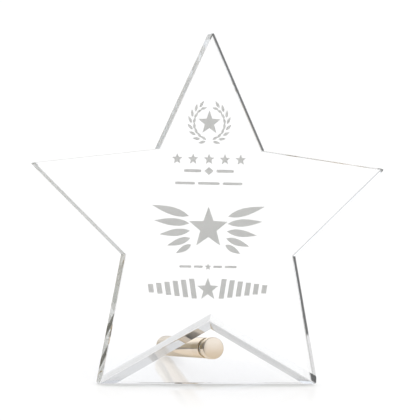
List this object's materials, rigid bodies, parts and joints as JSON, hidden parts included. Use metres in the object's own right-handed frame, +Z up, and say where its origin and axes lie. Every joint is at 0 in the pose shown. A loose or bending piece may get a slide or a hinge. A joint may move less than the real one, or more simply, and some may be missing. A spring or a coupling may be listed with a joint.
{
  "type": "star trophy",
  "caption": "Clear star-shaped glass award plate, leaning back on a gold pole clamped through a drilled hole in the web between its legs.",
  "frame": {"origin": "middle of the footprint on the table, under the object", "axes": "+X to the viewer's right across the star, +Y towards the back, +Z up; the front face looks along -Y and slightly up"},
  "size_m": [0.2116, 0.0924, 0.2],
  "materials": {
    "clear_glass": "polished clear glass with etched frosted marks",
    "gold_metal": "pale gold anodised, satin polished",
    "brass": "cut brass thread",
    "clear_plastic": "clear nylon"
  },
  "bodies": {
    "root": {"star_plate": "clear_glass", "front_cap": "gold_metal", "support_pole": "gold_metal", "threaded_stud": "brass", "stud_sleeve": "clear_plastic", "front_washer": "clear_plastic", "rear_washer": "clear_plastic"}
  },
  "joints": []
}
